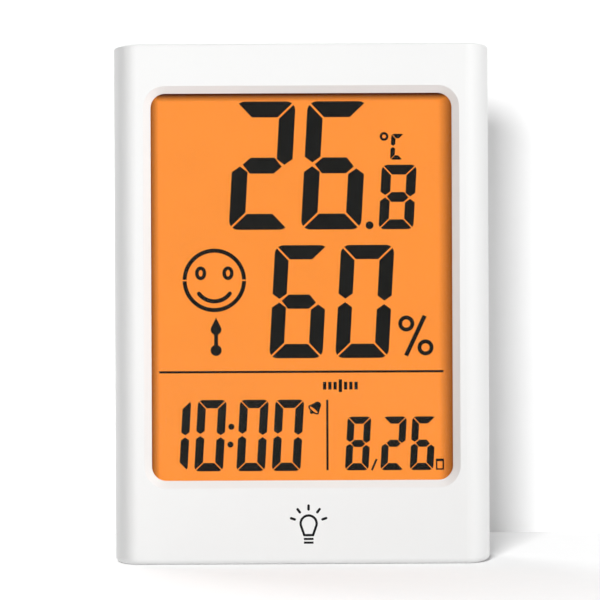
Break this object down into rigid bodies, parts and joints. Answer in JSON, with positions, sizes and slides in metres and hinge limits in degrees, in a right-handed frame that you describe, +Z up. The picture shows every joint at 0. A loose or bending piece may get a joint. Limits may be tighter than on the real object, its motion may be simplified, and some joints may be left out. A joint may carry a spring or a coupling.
{
  "type": "temperature humidity sensor",
  "caption": "Slab-shaped indoor temperature and humidity display with clock: backlit segment glass, rear buttons, battery bay, wall keyhole and fold-out stand.",
  "frame": {"origin": "bottom centre of the housing", "axes": "+Z up, the display faces -Y, +X to the right seen from the front"},
  "size_m": [0.078, 0.022, 0.107],
  "materials": {
    "white_plastic": "satin",
    "mark_ink": "matte print",
    "clear_lens": "polished",
    "tape": "adhesive film",
    "polariser_film": "film",
    "display_glass": "polished",
    "seal": "cured resin",
    "segment_black": "dark",
    "diffuser": "frosted",
    "guide": "polished",
    "reflector": "white film",
    "lamp": "moulded",
    "board_green": "solder mask",
    "holder_plastic": "moulded",
    "zebra_rubber": "silicone",
    "black_resin": "cured resin",
    "bright_metal": "plated",
    "gold_metal": "plated",
    "chip_dark": "ceramic",
    "sensor_white": "moulded",
    "black_plastic": "moulded",
    "cell_jacket": "gloss jacket",
    "red_wire": "insulation",
    "black_wire": "insulation"
  },
  "bodies": {
    "housing": {"backlight_lamps": "lamp", "board_screws": "bright_metal", "bridge_plate": "bright_metal", "buzzer": "black_plastic", "case_screws": "bright_metal", "cell_lower": "cell_jacket", "cell_upper": "cell_jacket", "chip_blob": "black_resin", "chip_parts": "chip_dark", "clock_crystal": "bright_metal", "contact_springs": "bright_metal", "diffuser_sheet": "diffuser", "display_holder": "holder_plastic", "display_segments": "segment_black", "edge_seal": "seal", "front_glass": "display_glass", "front_polariser": "polariser_film", "front_shell": "white_plastic", "humidity_sensor": "sensor_white", "lamp_strip": "board_green", "lead_black": "black_wire", "lead_red": "red_wire", "lens_tape": "tape", "light_guide": "guide", "main_board": "board_green", "negative_plate": "bright_metal", "positive_plate": "bright_metal", "rear_glass": "display_glass", "rear_polariser": "polariser_film", "rear_shell": "white_plastic", "reflector_sheet": "reflector", "switch_bodies": "black_plastic", "thermistor": "black_resin", "touch_mark": "mark_ink", "touch_spring": "gold_metal", "window_lens": "clear_lens", "zebra_strip": "zebra_rubber"},
    "stand": {"stand": "white_plastic"},
    "battery_cover": {"battery_cover": "white_plastic"},
    "key_mode": {"button_mode": "white_plastic", "plunger_mode": "black_plastic"},
    "key_set": {"button_set": "white_plastic", "plunger_set": "black_plastic"},
    "key_up": {"button_up": "white_plastic", "plunger_up": "black_plastic"},
    "key_down": {"button_down": "white_plastic", "plunger_down": "black_plastic"}
  },
  "joints": [
    {"name": "stand_hinge", "type": "hinge", "parent": "housing", "child": "stand", "pos_m": [0, 0.0093, 0.0443], "axis": [1, 0, 0], "range_deg": [0, 40]},
    {"name": "cover_hinge", "type": "hinge", "parent": "housing", "child": "battery_cover", "pos_m": [0, 0.011, 0.0496], "axis": [-1, 0, 0], "range_deg": [0, 60]},
    {"name": "press_mode", "type": "slide", "parent": "housing", "child": "key_mode", "axis": [0, -1, 0], "range_m": [0, 0.0003], "stiffness_N_per_m": 2500},
    {"name": "press_set", "type": "slide", "parent": "housing", "child": "key_set", "axis": [0, -1, 0], "range_m": [0, 0.0003], "stiffness_N_per_m": 2500},
    {"name": "press_up", "type": "slide", "parent": "housing", "child": "key_up", "axis": [0, -1, 0], "range_m": [0, 0.0003], "stiffness_N_per_m": 2500},
    {"name": "press_down", "type": "slide", "parent": "housing", "child": "key_down", "axis": [0, -1, 0], "range_m": [0, 0.0003], "stiffness_N_per_m": 2500}
  ]
}
